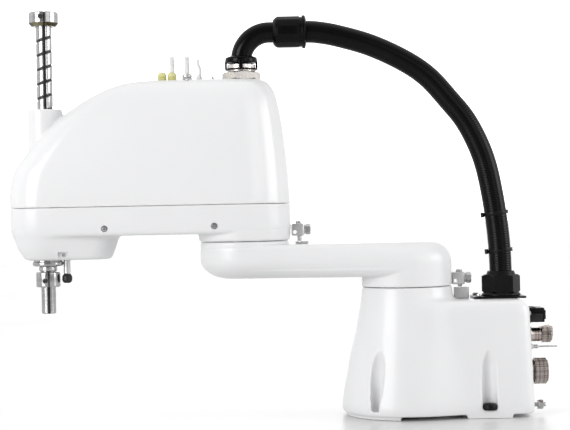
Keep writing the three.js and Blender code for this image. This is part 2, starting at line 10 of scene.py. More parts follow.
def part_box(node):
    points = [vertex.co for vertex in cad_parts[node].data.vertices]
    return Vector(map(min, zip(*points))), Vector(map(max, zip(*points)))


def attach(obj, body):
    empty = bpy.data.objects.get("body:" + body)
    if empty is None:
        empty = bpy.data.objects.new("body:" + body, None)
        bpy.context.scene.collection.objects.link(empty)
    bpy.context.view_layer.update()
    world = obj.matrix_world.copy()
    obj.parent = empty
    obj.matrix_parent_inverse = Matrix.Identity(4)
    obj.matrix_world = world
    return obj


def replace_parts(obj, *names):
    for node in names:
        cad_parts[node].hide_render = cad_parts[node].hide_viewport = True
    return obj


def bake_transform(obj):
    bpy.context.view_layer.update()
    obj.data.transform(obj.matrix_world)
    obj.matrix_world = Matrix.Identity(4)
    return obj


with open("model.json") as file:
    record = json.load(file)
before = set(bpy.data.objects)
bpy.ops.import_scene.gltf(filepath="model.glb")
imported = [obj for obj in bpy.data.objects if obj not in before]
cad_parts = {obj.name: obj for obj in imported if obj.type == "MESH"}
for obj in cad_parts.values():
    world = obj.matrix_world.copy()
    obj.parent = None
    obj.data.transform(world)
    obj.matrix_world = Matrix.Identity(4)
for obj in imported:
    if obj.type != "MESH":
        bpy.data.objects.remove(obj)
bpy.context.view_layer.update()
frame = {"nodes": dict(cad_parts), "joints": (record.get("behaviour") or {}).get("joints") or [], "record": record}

MM = 0.001
RECORD = frame["record"]
SLOT_OF = {row["node"]: row["material_slot"] for row in RECORD["subparts"]}
BODY_OF = {node: body for body, nodes in RECORD["behaviour"]["bodies"].items() for node in nodes}
JOINT_AT = {joint["name"]: joint.get("pos_m") for joint in frame["joints"]}
J2_X = JOINT_AT["j2_elbow"][0] / MM
QUILL_X = JOINT_AT["j4_roll"][0] / MM


# ---- Places, all in millimetres ----
def box_of(node):
    low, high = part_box(node)
    return low / MM, high / MM


def place_of(node):
    """A CAD node's box and the middle of it."""
    low, high = box_of(node)
    return low, high, (low + high) / 2


def middle_of(node):
    return place_of(node)[2]


PANEL_FACE = box_of("rear_panel")[1].x
SEAM = box_of("arm2_casting")[1].z
COVER_TOP = box_of("arm2_cover")[1].z
CONDUIT_X = middle_of("conduit_gland_base").x
GLAND_SEAT = box_of("conduit_gland_arm")[0].z
ELBOW_AXIS_Z = middle_of("hose_coupling").z
COUPLING_START, COUPLING_END = (corner.x for corner in box_of("hose_coupling"))
HUB_RADIUS = 62.5
NOSE_BOTTOM = 223.4
ARM2_BOTTOM = 244.2

# The hose's centre line, [X, Z], from the coupling over the arm down to the base.
HOSE_ROUTE = [[-133.4, 534.3], [-118, 533.2], [-91, 528], [-45, 514], [1, 492], [35, 468], [65, 434],
              [86, 407], [103, 374], [114, 342], [122, 302], [127.5, 262], [130.5, 227], [131.6, 193.2]]
HOSE_DIAMETER = 31
HOSE_RIB = 3.4  # from one rib to the next
HOSE_RIB_DEPTH = 0.14


# ---- Camera ----
CAMERA_AT = (-168, -2094, 279)
CAMERA_ROLL = -1.12  # degrees


def link(name, data):
    obj = bpy.data.objects.new(name, data)
    bpy.context.scene.collection.objects.link(obj)
    return obj


def make_camera():
    lens = bpy.data.cameras.new("camera")
    lens.sensor_width = 36
    lens.lens = 94.7
    camera = link("camera", lens)
    stand = Matrix.Translation(Vector(CAMERA_AT) * MM)
    roll = Matrix.Rotation(math.radians(CAMERA_ROLL), 4, "Z")
    camera.matrix_world = stand @ Matrix.Rotation(math.radians(90), 4, "X") @ roll
    bpy.context.scene.camera = camera


# ---- Mesh building ----
def add_object(name, points, faces):
    """A closed mesh from points in millimetres, with its faces turned outwards."""
    mesh = bpy.data.meshes.new(name)
    mesh.from_pydata([Vector(point) * MM for point in points], [], faces)
    shape = bmesh.new()
    shape.from_mesh(mesh)
    bmesh.ops.remove_doubles(shape, verts=shape.verts, dist=1e-7)
    bmesh.ops.recalc_face_normals(shape, faces=shape.faces)
    shape.to_mesh(mesh)
    shape.free()
    return link(name, mesh)


def moved(obj, x=0.0, y=0.0, z=0.0):
    obj.data.transform(Matrix.Translation(Vector((x, y, z)) * MM))
    return obj


def spun(obj, degrees, axis="Z"):
    obj.data.transform(Matrix.Rotation(math.radians(degrees), 4, axis))
    return obj


def to_x(obj):
    """Turns a piece built along Z so that it points along +X."""
    return spun(obj, 90, "Y")


def to_side(obj, side):
    """Turns a piece built along Z so that it points along Y, towards the side given as -1 or 1."""
    return spun(obj, -90 * side, "X")


def apply_modifiers(obj):
    bpy.context.view_layer.update()
    graph = bpy.context.evaluated_depsgraph_get()
    mesh = bpy.data.meshes.new_from_object(obj.evaluated_get(graph))
    obj.modifiers.clear()
    obj.data = mesh
    return obj


def combine(operation, obj, *others):
    """Cuts, joins or intersects obj with the others, which are used up."""
    for other in others:
        step = obj.modifiers.new("combine", "BOOLEAN")
        step.operation = operation
        step.solver = "EXACT"
        step.object = other
    apply_modifiers(obj)
    for other in others:
        bpy.data.objects.remove(other)
    return obj


def cut(obj, *others):
    return combine("DIFFERENCE", obj, *others)


def fuse(obj, *others):
    return combine("UNION", obj, *others)


def gather(obj, *others):
    """Puts closed bodies that touch or sit close together in one mesh."""
    shape = bmesh.new()
    for part in (obj, *others):
        shape.from_mesh(part.data)
    shape.to_mesh(obj.data)
    shape.free()
    for other in others:
        bpy.data.objects.remove(other)
    return obj


def bevel(obj, width, segments=3, angle=30):
    step = obj.modifiers.new("bevel", "BEVEL")
    step.width = width * MM
    step.segments = segments
    step.limit_method = "ANGLE"
    step.angle_limit = math.radians(angle)
    return apply_modifiers(obj)


def cast(obj, voxel, rounds):
    """Rounds every edge and hollow corner of a body, as on a casting."""
    grid = obj.modifiers.new("grid", "REMESH")
    grid.mode = "VOXEL"
    grid.voxel_size = voxel * MM
    soft = obj.modifiers.new("soft", "SMOOTH")
    soft.factor = 0.5
    soft.iterations = rounds
    return apply_modifiers(obj)


def softened(profile, size, steps=3):
    """A profile whose corners off the axis are rounded."""
    closed = profile[0] == profile[-1]
    points = [Vector(point) for point in profile]
    result = [] if closed else [profile[0]]
    for i in range(0 if closed else 1, len(points) - 1):
        before = points[i - 1] if i else points[-2]
        corner, after = points[i], points[i + 1]
        reach = min(size, 0.45 * (before - corner).length, 0.45 * (after - corner).length)
        start = corner + (before - corner).normalized() * reach
        end = corner + (after - corner).normalized() * reach
        for k in range(steps + 1):
            t = k / steps
            result.append(tuple((1 - t) ** 2 * start + 2 * t * (1 - t) * corner + t * t * end))
    result.append(result[0] if closed else profile[-1])
    return result


def polar(radius, angle, x=0.0, y=0.0):
    return (x + radius * math.cos(angle), y + radius * math.sin(angle))


def turned(name, profile, sides=72):
    """A body turned about Z from [radius, height] points.

    They start and end on the axis, or end where they start."""
    points, rings = [], []
    for radius, height in profile:
        if radius == 0:
            rings.append([len(points)])
            points.append((0, 0, height))
            continue
        rings.append(list(range(len(points), len(points) + sides)))
        for i in range(sides):
            points.append((*polar(radius, 2 * math.pi * i / sides), height))
    faces = []
    for low, high in zip(rings, rings[1:]):
        for i in range(sides):
            j = (i + 1) % sides
            corners = [low[i % len(low)], low[j % len(low)], high[j % len(high)], high[i % len(high)]]
            face = list(dict.fromkeys(corners))
            if len(face) > 2:
                faces.append(face)
    return add_object(name, points, faces)


def lathe(name, profile, corner, sides=72):
    """A turned body whose corners are softened."""
    return turned(name, softened(profile, corner), sides)


def disc(name, radius, bottom, top, sides=72):
    return turned(name, [[0, bottom], [radius, bottom], [radius, top], [0, top]], sides)


def skin(name, rings):
    """A closed skin over a stack of rings with the same number of points."""
    count = len(rings[0])
    points = [point for ring in rings for point in ring]
    faces = [list(range(count)), list(range(len(points) - count, len(points)))]
    for level in range(len(rings) - 1):
        for i in range(count):
            a, b = level * count + i, level * count + (i + 1) % count
            faces.append([a, b, b + count, a + count])
    return add_object(name, points, faces)


def prism(name, outline, bottom, top):
    return skin(name, [[(x, y, z) for x, y in outline] for z in (bottom, top)])


def polygon(radius, corners, turn=0.0):
    angles = [math.radians(turn) + 2 * math.pi * i / corners for i in range(corners)]
    return [polar(radius, angle) for angle in angles]


def block(name, x, y, z, rounding=0.0):
    outline = [(x[0], y[0]), (x[1], y[0]), (x[1], y[1]), (x[0], y[1])]
    obj = prism(name, outline, *z)
    return bevel(obj, rounding) if rounding else obj


def smoothed(rows, cuts):
    """Rows of numbers with `cuts` steps between neighbours, on a smooth curve through them."""
    ends = [rows[0], *rows, rows[-1]]
    result = []
    for a, b, c, d in zip(ends, ends[1:], ends[2:], ends[3:]):
        for i in range(cuts):
            t = i / cuts
            result.append([0.5 * (2 * q + (r - p) * t + (2 * p - 5 * q + 4 * r - s) * t * t
                                  + (3 * q - p - 3 * r + s) * t ** 3) for p, q, r, s in zip(a, b, c, d)])
    return result + [list(rows[-1])]


def arm_ring(z, rear_x, rear_radius, front_x, front_radius, steps):
    """One level of an arm: a rear arc and a front arc in plan, joined by their common tangents."""
    lean = math.acos((front_radius - rear_radius) / (rear_x - front_x))
    arcs = [(rear_x, rear_radius, -lean, lean), (front_x, front_radius, lean, 2 * math.pi - lean)]
    return [(*polar(radius, start + (end - start) * i / steps, centre), z)
            for centre, radius, start, end in arcs for i in range(steps + 1)]


def arm_loft(name, levels, steps=40):
    return skin(name, [arm_ring(*level, steps) for level in levels])


def box_ring(z, x0, x1, half, corner, steps=8):
    """One level of a box with rounded corners."""
    centres = [(x1 - corner, half - corner), (x0 + corner, half - corner),
               (x0 + corner, corner - half), (x1 - corner, corner - half)]
    return [(*polar(corner, math.pi / 2 * (quarter + i / steps), x, y), z)
            for quarter, (x, y) in enumerate(centres) for i in range(steps + 1)]


def rounded_in(rise, height, reach):
    """How far an edge that rounds over by `reach` has drawn in after `rise` of its `height`."""
    part = min(max(rise / height, 0), 1)
    return reach * (1 - math.sqrt(1 - part * part))


def evenly(points, step):
    """Points about `step` apart along the line through `points`, and the line's length."""
    lengths = [0.0]
    for a, b in zip(points, points[1:]):
        lengths.append(lengths[-1] + math.dist(a, b))
    count = max(2, round(lengths[-1] / step))
    result, k = [], 0
    for i in range(count + 1):
        along = lengths[-1] * i / count
        while k < len(points) - 2 and lengths[k + 1] < along:
            k += 1
        t = (along - lengths[k]) / (lengths[k + 1] - lengths[k])
        result.append([p + (q - p) * t for p, q in zip(points[k], points[k + 1])])
    return result, lengths[-1]


def swept(name, path, radius_at, sides=40):
    """A round bar along a path of [X, Z] points, with its radius given at each point's number."""
    rings = []
    for i, (x, z) in enumerate(path):
        before, after = path[max(i - 1, 0)], path[min(i + 1, len(path) - 1)]
        along = Vector((after[0] - before[0], after[1] - before[1])).normalized()
        radius = radius_at(i)
        ring = []
        for k in range(sides):
            out, side = polar(radius, 2 * math.pi * k / sides)
            ring.append((x - along.y * out, side, z + along.x * out))
        rings.append(ring)
    return skin(name, rings)


# ---- Materials ----
MATERIALS = {}
EVEN = (1, 1, 1)
RINGS = (0.15, 0.15, 9)  # turning marks round an upright axis
ALONG = (9, 0.15, 0.15)  # turning marks round an axis along X
NOISE_LOW, NOISE_HIGH = 0.35, 0.65  # where most of a noise texture's values lie


def noise(tree, scale, detail, stretch):
    place = tree.nodes.new("ShaderNodeTexCoord")
    mapping = tree.nodes.new("ShaderNodeMapping")
    mapping.inputs["Scale"].default_value = stretch
    texture = tree.nodes.new("ShaderNodeTexNoise")
    texture.inputs["Scale"].default_value = scale
    texture.inputs["Detail"].default_value = detail
    tree.links.new(place.outputs["Object"], mapping.inputs["Vector"])
    tree.links.new(mapping.outputs["Vector"], texture.inputs["Vector"])
    return texture.outputs["Fac"]


def ranged(tree, value, low, high):
    """Spreads most of a noise texture's values over the range from low to high."""
    node = tree.nodes.new("ShaderNodeMapRange")
    for socket, number in (("From Min", NOISE_LOW), ("From Max", NOISE_HIGH), ("To Min", low),
                           ("To Max", high)):
        node.inputs[socket].default_value = number
    tree.links.new(value, node.inputs["Value"])
    return node.outputs["Result"]


def surface(name, dark, light, roughness, metal=0.0, coat=0.0, grain=(), patch=14.0, stretch=EVEN, **sockets):
    """Two close colours in soft patches, a roughness that wanders, and layers of fine relief.

    Each layer of grain is (features per metre, depth in mm, stretch)."""
    material = bpy.data.materials.new(name)
    material.use_nodes = True
    tree = material.node_tree
    shader = tree.nodes["Principled BSDF"]
    shader.inputs["Metallic"].default_value = metal
    shader.inputs["Coat Weight"].default_value = coat
    shader.inputs["Coat Roughness"].default_value = 0.12
    for socket, number in sockets.items():
        shader.inputs[socket.replace("_", " ")].default_value = number
    mix = tree.nodes.new("ShaderNodeMix")
    mix.data_type = "RGBA"
    mix.inputs["A"].default_value = (*dark, 1)
    mix.inputs["B"].default_value = (*light, 1)
    tree.links.new(ranged(tree, noise(tree, patch, 5.0, stretch), 0, 1), mix.inputs["Factor"])
    tree.links.new(mix.outputs["Result"], shader.inputs["Base Color"])
    wander = ranged(tree, noise(tree, patch * 3.7, 4.0, stretch), *roughness)
    tree.links.new(wander, shader.inputs["Roughness"])
    below = None
    for scale, depth, layer_stretch in grain:
        relief = tree.nodes.new("ShaderNodeBump")
        relief.inputs["Strength"].default_value = 1.0
        relief.inputs["Distance"].default_value = depth * MM
        tree.links.new(noise(tree, scale, 2.0, layer_stretch), relief.inputs["Height"])
        if below:
            tree.links.new(below, relief.inputs["Normal"])
        below = relief.outputs["Normal"]
    if below:
        tree.links.new(below, shader.inputs["Normal"])
    MATERIALS[name] = material
    return material


def grey(value, tint=0.0):
    """A grey, a little warmer for a positive tint."""
    return (value * (1 + tint), value, value * (1 - tint))


def make_materials():
    peel = [(85, 0.03, EVEN), (620, 0.012, EVEN)]
    moulded = [(900, 0.02, EVEN)]
    steel = dict(metal=1.0, roughness=(0.18, 0.32), patch=40)
    black = dict(Specular_IOR_Level=0.3, IOR=1.3)
    surface("painted_casting", grey(0.785, -0.006), grey(0.8, -0.006), (0.34, 0.4), coat=0.2, grain=peel)
    surface("cover_paint", grey(0.812, -0.006), grey(0.82, -0.006), (0.28, 0.31), coat=0.3,
            grain=[(70, 0.02, EVEN), (700, 0.006, EVEN)])
    surface("steel", grey(0.5), grey(0.62), grain=[(160, 0.015, ALONG)], stretch=ALONG, **steel)
    surface("turned_steel", grey(0.52), grey(0.64), grain=[(160, 0.012, RINGS)], stretch=RINGS, **steel)
    surface("chrome", grey(0.42), grey(0.5), (0.12, 0.22), metal=1.0, patch=30, stretch=RINGS,
            grain=[(220, 0.006, RINGS)])
    # Painted shade: a near-black colour laid into the quill's cut grooves, where shade falls.
    surface("painted_groove_shade", grey(0.012), grey(0.03), (0.2, 0.4), metal=0.4, patch=90)
    # Painted shade: a dark brownish colour for the downward-facing bevels under the rings, standing in for the
    # shade there.
    surface("painted_shade_steel", (0.05, 0.042, 0.02), (0.3, 0.28, 0.18), (0.2, 0.36), metal=1.0, patch=60)
    surface("cast_metal", grey(0.6), grey(0.7), (0.32, 0.46), metal=0.9, patch=60, grain=[(420, 0.05, EVEN)])
    surface("nickel", grey(0.72, 0.05), grey(0.82, 0.06), (0.2, 0.34), metal=0.85, patch=50,
            grain=[(300, 0.02, EVEN)])
    surface("copper_nickel", (0.27, 0.22, 0.2), (0.62, 0.56, 0.53), (0.1, 0.2), metal=1.0, patch=40,
            stretch=ALONG, grain=[(160, 0.006, ALONG)])
    surface("black_plastic", grey(0.004), grey(0.008), (0.26, 0.36), grain=moulded, **black)
    surface("hose_plastic", grey(0.002), grey(0.003), (0.17, 0.22), patch=30, grain=[(700, 0.006, EVEN)],
            **black)
    surface("fitting_plastic", (0.55, 0.53, 0.17), (0.72, 0.7, 0.36), (0.3, 0.45), grain=moulded, patch=60)
    surface("tube_plastic", grey(0.74, 0.01), grey(0.82, 0.02), (0.25, 0.4), patch=50,
            grain=[(300, 0.01, EVEN)], Transmission_Weight=0.12, IOR=1.4)
    surface("belt_rubber", grey(0.018), grey(0.03), (0.7, 0.85), grain=[(1200, 0.04, EVEN)])
    surface("motor_black", grey(0.02), grey(0.032), (0.35, 0.5), grain=[(900, 0.03, EVEN)])
    surface("bolt_black", grey(0.02), grey(0.05), (0.3, 0.45), metal=0.6, patch=80, grain=moulded)


def dress(obj, body, material, crease=32):
    """Gives a new piece its material, smooth shading and body."""
    obj.data.materials.clear()
    obj.data.materials.append(MATERIALS[material])
    shade(obj, crease)
    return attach(obj, body)


def shade(obj, crease=32):
    obj.data.shade_smooth()
    obj.data.set_sharp_from_angle(angle=math.radians(crease))


def stand_for(obj, *nodes, material=None, crease=32):
    """Puts a new piece in the place of CAD nodes, with their body and, unless another is given, their slot's
    material.
    """
    slot = SLOT_OF[nodes[0]]
    dress(obj, BODY_OF[nodes[0]], material or slot, crease)
    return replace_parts(obj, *nodes)


# ---- Fasteners, built along +Z from Z = 0 ----
def socket_screw(name, radius, height, socket=None):
    """A cap screw's head with a hexagon socket."""
    profile = [[0, 0], [radius, 0], [radius, height], [0, height]]
    hole = prism("hole", polygon(socket or radius * 0.5, 6), height * 0.45, height + 1)
    return cut(lathe(name, profile, min(0.18 * radius, 0.8), 40), hole)


def hexagon(name, across, bottom, top, chamfer=0.9):
    """A nut or bolt head: a hexagonal bar with its corners turned off at both ends."""
    corner = across / 2 / math.cos(math.pi / 6)
    inner = across / 2
    limits = [[0, bottom], [inner, bottom], [corner + 0.05, bottom + chamfer], [corner + 0.05, top - chamfer],
              [inner, top], [0, top]]
    return combine("INTERSECT", prism(name, polygon(corner, 6), bottom, top), turned("limits", limits, 60))


# ---- Base ----
# Each bolt pocket's X and Y, the height where its sides start to close in and the height of its point.
POCKETS = [(103, 74, 70, 99), (103, -74, 70, 99), (-47, 69.5, 70, 114), (-47, -69.5, 70, 114)]
POCKET_FLOOR = 11
POCKET_RADIUS = 10
BOLT_HOLE_RADIUS = 4.5
HOLE_INSET = 3  # from the pocket's axis towards the middle of the base
BODY_FLOOR = 5  # the body's underside, between the pads
BASE_NECK_TOP = 176.6
# The column's outline, [radius, height].
COLUMN = smoothed([[86, -12], [91.5, 5], [93.3, 10], [93.4, 15], [88.8, 42], [84.4, 64], [80, 86],
                   [72.5, 117], [65.5, 153], [HUB_RADIUS, BASE_NECK_TOP],
                   [HUB_RADIUS, BASE_NECK_TOP + 20]], 5)
BOX_REAR = 166  # the box's rear wall
BOX_HALF = 78  # half the box's width
FOOT_TOP = 13  # the box is widest at this height
BASE_CORNER = 18  # rounding of the box's upright corners
VALLEY = 26  # how far the hollow between column and box spreads
BOX_HEIGHTS = [-12, 5, 6, 8, 10, 13, 25, 45, 65, 85, 105, 125, 140, 144, 147, 149.5, 151.5, 153.5, 155, 156.3,
               157.3, 158]


def base_column():
    return turned("base_shell", [[0, -12], *COLUMN, [0, BASE_NECK_TOP + 20]], 96)


def column_radius(height):
    for (low, bottom), (high, top) in zip(COLUMN, COLUMN[1:]):
        if height <= top:
            return low + (high - low) * (height - bottom) / (top - bottom)
    return HUB_RADIUS


def base_side(x, column, half):
    """How far the base's side stands out at X: the column runs into the box in one soft hollow."""
    round_side = math.sqrt(max(column ** 2 - x ** 2, 0))
    closeness = max(0, 1 - abs(half - round_side) / VALLEY)
    return max(round_side, half) + VALLEY / 4 * closeness ** 2 * min(x / 30, 1)


def base_ring(z, column, rear, half):
    """One level of the base: the column's front, both sides and the box's rounded rear corners."""
    steps = 36
    inner = rear - BASE_CORNER
    outline = [polar(BASE_CORNER, math.pi / 2 * i / 8, inner, half - BASE_CORNER) for i in range(9)]
    shares = [i / steps for i in range(1, steps + 1)]
    outline += [(inner * (1 - share), base_side(inner * (1 - share), column, half)) for share in shares]
    outline += [polar(column, math.pi / 2 * (1 + share)) for share in shares]
    return [(x, y, z) for x, y in outline] + [(x, -y, z) for x, y in reversed(outline[:-1])]


def base_box():
    """The rear box, narrower and shorter towards its rounded top, with the column's lower part."""
    rings = []
    for z in BOX_HEIGHTS:
        foot, rise = max(FOOT_TOP - z, 0), max(z - FOOT_TOP, 0)
        rear = BOX_REAR - 2.6 * rise / 130 - rounded_in(z - 143, 15.4, 15) - foot * 0.1
        half = BOX_HALF - 12 * rise / 130 - rounded_in(z - 147, 11.4, 9) - foot * 0.12
        rings.append(base_ring(z, column_radius(z) - 0.4, rear, half))
    return skin("base_box", rings)


def make_base_shell():
    pad_cut = block("pad_cut", (-17.6, 100), (-100, 100), (-1, 8))
    front_pad = cut(disc("front_pad", 88, 0, 7), pad_cut)
    rear_pad = block("rear_pad", (72.6, 133.7), (-76.7, 76.7), (0, 7))
    centre_pad = disc("centre_pad", 26, 0, 7)
    body = cast(fuse(base_column(), base_box()), 2.2, 34)
    above = block("above", (-90, 90), (-90, 90), (BASE_NECK_TOP, BASE_NECK_TOP + 40))
    below = block("below", (-120, 200), (-120, 120), (-40, BODY_FLOOR))
    body = fuse(cut(body, above, below), front_pad, rear_pad, centre_pad)
    cavity = block("cavity", (-36, 157), (-46, 46), (16, 147))
    opening = block("opening", (150, 172), (-46, 46), (28, 147))
    bore = disc("bore", 48.3, 138, 180)
    pockets = []
    for x, y, shoulder, point in POCKETS:
        ogive = [[POCKET_RADIUS * (1 - (k / 8) ** 1.35), shoulder + (point - shoulder) * k / 8]
                 for k in range(8)]
        tool = turned("pocket", [[0, POCKET_FLOOR], [POCKET_RADIUS, POCKET_FLOOR], *ogive, [0, point]], 48)
        pockets.append(moved(tool, x, y))
        hole = disc("hole", BOLT_HOLE_RADIUS, -2, POCKET_FLOOR + 2, 32)
        pockets.append(moved(hole, x, y - math.copysign(HOLE_INSET, y)))
    cast(cut(body, cavity, opening, bore, *pockets), 1.5, 3)
    stand_for(body, "base_casting", crease=60)


def make_rear_panel():
    low, high = box_of("rear_panel")
    stand_for(block("rear_plate", *zip(low, high), 0.8), "rear_panel")
    screws = [moved(to_x(socket_screw("panel_screws", 3.4, 2.6)), PANEL_FACE, y, z)
              for y in (low.y + 6, high.y - 6) for z in (low.z + 9, high.z - 9)]
    dress(gather(*screws), "base", "steel")
    stub = [[0, 0], [4.5, 0], [4.5, 5], [2.6, 6], [2.6, 13], [1.1, 14], [1.1, 40], [0, 40]]
    stub = to_x(lathe("thin_tube_fitting", stub, 0.4, 32))
    dress(moved(stub, PANEL_FACE, -30, 91.4), "base", "steel")


def make_power_connector():
    low, high = box_of("power_connector")
    face = low.x
    shell = block("power_plug", (face, face + 22), (low.y, high.y), (low.z, high.z), 1.2)
    hollow = block("hollow", (face + 17, face + 24), (low.y + 3, high.y - 3), (low.z + 3, high.z - 3))
    core = block("core", (face + 16.5, face + 24.5), (low.y + 5, high.y - 5), (low.z + 3.4, high.z - 3.4),
                 1.0)
    ribs = [block("rib", (face + 5, face + 11), (y - 0.9, y + 0.9), (high.z - 1, high.z + 0.6), 0.3)
            for y in range(round(low.y) + 6, round(high.y) - 4, 5)]
    flange = block("flange", (face, face + 2.5), (low.y - 3, high.y + 3), (low.z - 1, high.z + 1), 0.5)
    stand_for(gather(cut(shell, hollow), core, flange, *ribs), "power_connector")
    arms = [block("latch_bars", (face + 2, face + 19), (y - 1, y + 1), (low.z + 2, high.z - 8), 0.5)
            for y in (low.y - 1.6, high.y + 1.6)]
    dress(gather(*arms), "base", "bolt_black")


def knurled(name, radius, start, end, ridges):
    """A grip ring with ridges along it."""
    outline = [polar(radius - drop, 2 * math.pi * (i + share) / ridges)
               for i in range(ridges) for share, drop in ((0.0, 0.5), (0.3, 0), (0.7, 0))]
    return prism(name, outline, start, end)


def make_round_connector(node, profile, grip, pins):
    """A round connector with a ridged coupling ring and contact pins in its open end.

    The grip is (radius, start, end, number of ridges)."""
    low, high, middle = place_of(node)
    length = high.x - low.x
    body = lathe(f"{node}_shell", profile, 0.5)
    radius, start, end, ridges = grip
    mouth_radius = radius - 3.2
    body = cut(body, disc("mouth", mouth_radius, length - 9, length + 1, 48))
    ring = knurled("ring", radius, start, end, ridges)
    ring = cut(ring, disc("inside", radius - 2.4, start - 1, end + 1, 48))
    contacts = [moved(disc("pin", 0.9, length - 9.5, length - 2.5, 12), x, y)
                for x, y in polygon(mouth_radius * 0.6, pins)]
    whole = gather(body, ring, *contacts)
    stand_for(moved(to_x(whole), low.x, middle.y, middle.z), node, material="copper_nickel")


def make_connectors():
    make_power_connector()
    make_round_connector("signal_connector",
                         [[0, 0], [12, 0], [12, 4], [9.5, 5], [9.5, 17], [8.8, 18], [8.8, 33], [0, 33]],
                         (11, 19, 31, 36), 6)
    make_round_connector("motor_connector",
                         [[0, 0], [18, 0], [18, 5], [15, 6], [14, 7], [14, 10], [15.5, 12], [15.5, 26.7],
                          [0, 26.7]],
                         (18, 8.5, 24.5, 40), 8)
    for node in ("air_inlet_1", "air_inlet_2"):
        low, middle = box_of(node)[0], middle_of(node)
        profile = [[0, 0], [5, 0], [5, 13], [4.4, 16], [4.4, 21], [8, 35], [8, 39], [6.4, 39], [3.2, 30],
                   [0, 30]]
        body = lathe(f"{node}_funnel", profile, 0.4, 48)
        nut = hexagon("nut", 13, 0, 9)
        stand_for(moved(to_x(gather(body, nut)), low.x, middle.y, middle.z), node, material="copper_nickel")
    low, middle = box_of("ground_bolt")[0], middle_of("ground_bolt")
    stud = lathe("ground_stud", [[0, 0], [3, 0], [3, 17], [2.2, 18], [0, 18]], 0.2, 32)
    washers = lathe("washers", [[0, 0], [7, 0], [7, 1.5], [0, 1.5]], 0.3, 40)
    second = moved(lathe("washer", [[0, 0], [6, 0], [6, 1.6], [0, 1.6]], 0.3, 40), z=6.4)
    nut = hexagon("nut", 11, 8, 14)
    stand_for(moved(to_x(gather(stud, washers, second, nut)), low.x, middle.y, middle.z), "ground_bolt")


def make_plugs():
    for node in ("pocket_plug_1", "pocket_plug_2"):
        low, middle = box_of(node)[0], middle_of(node)
        profile = [[0, 0], [9.3, 0], [9.3, 5.5], [8.4, 8], [6.5, 9], [3.4, 9], [2.8, 8.2], [0, 8.2]]
        plug = lathe(f"{node}_cap", profile, 0.7, 48)
        stand_for(moved(plug, middle.x, middle.y, low.z), node)


def make_zero_lug(owner, node_lug, node_bolt, node_pad, pad_rounding):
    """The lug, pin, bolts and pad that mark a joint's zero position."""
    low, high = box_of(node_lug)
    top, bottom = high.z, high.z - 17
    body = block(f"{owner}_lug", (low.x, high.x), (-8, 8), (bottom, top), 1.4)
    eye = to_side(disc("eye", 2.6, -12, 12, 32), 1)
    body = cut(body, moved(eye, low.x + 4.5, 0, bottom + 5))
    pin_x = low.x + 11
    pin = [[0, low.z], [2.2, low.z], [3, low.z + 1], [3, bottom + 2], [0, bottom + 2]]
    body = gather(body, moved(lathe("pin", pin, 0.3, 32), pin_x))
    stand_for(body, node_lug)
    cap = moved(socket_screw(f"{owner}_lug_screw", 4.2, 3.6), pin_x - 1, 0, top)
    dress(cap, BODY_OF[node_lug], "steel")
    start = box_of(node_bolt)[0]
    middle = middle_of(node_bolt)
    shank = disc("shank", 4, 0, 3.5, 32)
    washer = lathe("washer", [[0, 0.2], [7, 0.2], [7, 1.7], [0, 1.7]], 0.3, 40)
    head = cut(hexagon(f"{owner}_lug_bolt", 13, 2, 9), prism("socket", polygon(3, 6), 6, 10))
    stand_for(moved(to_x(gather(head, shank, washer)), start.x, 0, middle.z), node_bolt)
    low, high = box_of(node_pad)
    pad = block(f"{owner}_pad", *zip(low, high), pad_rounding)
    groove = block("groove", (pin_x - 1, pin_x + 1), (low.y - 1, high.y + 1), (high.z - 1.2, high.z + 1))
    stand_for(cut(pad, groove), node_pad)


# ---- Conduit ----
def make_hose():
    inside_coupling, inside_gland = [-141.4, 534.9], [131.7, 185.2]
    path, reach = evenly(smoothed([inside_coupling, *HOSE_ROUTE, inside_gland], 24), HOSE_RIB / 6)
    step = reach / (len(path) - 1)
    length = evenly(smoothed(HOSE_ROUTE, 24), HOSE_RIB)[1]

    def radius_at(i):
        wave = 0.5 - 0.5 * math.cos(2 * math.pi * i * step / HOSE_RIB)
        return HOSE_DIAMETER / 2 - HOSE_RIB_DEPTH * wave ** 2

    hose = swept("hose", path, radius_at, 44)
    hose.data.materials.append(MATERIALS["hose_plastic"])
    shade(hose, 60)
    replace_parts(hose, "conduit_hose")
    bend_across_shoulder(hose)
    ties = [make_tie(node) for node in ("hose_tie_upper", "hose_tie_lower")]


def bend_across_shoulder(obj):
    """Bakes the placement of the hose and of each tie into its mesh."""
    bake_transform(obj)


def make_tie(node):
    """A cable tie: a band with a lock on one side and its cut tail beside it."""
    middle = middle_of(node)
    nearest = min(range(1, len(HOSE_ROUTE)), key=lambda i: abs(HOSE_ROUTE[i][1] - middle.z))
    rise = [a - b for a, b in zip(HOSE_ROUTE[nearest - 1], HOSE_ROUTE[nearest])]
    lean = math.degrees(math.atan2(-rise[0], rise[1]))
    inner, outer = HOSE_DIAMETER / 2 + 0.1, HOSE_DIAMETER / 2 + 1.7
    ring = [[inner, -2.4], [outer, -2.4], [outer, 2.4], [inner, 2.4], [inner, -2.4]]
    band = turned(f"{node}_band", softened(ring, 0.4, 2), 72)
    lock = block("lock", (-outer - 3.4, -inner - 0.6), (-3.2, 3.2), (-3.4, 3.4), 0.7)
    tail = block("tail", (-outer - 2.6, -outer - 1.4), (-8.5, -3), (-2, 2), 0.4)
    knob = block("knob", (inner + 0.6, outer + 0.7), (-1.8, 1.8), (-2.8, 2.8), 0.5)
    tie = spun(gather(band, lock, tail, knob), -lean, "Y")
    moved(tie, middle.x, 0, middle.z)
    tie.data.materials.append(MATERIALS["black_plastic"])
    shade(tie)
    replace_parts(tie, node)
    bend_across_shoulder(tie)
    return tie


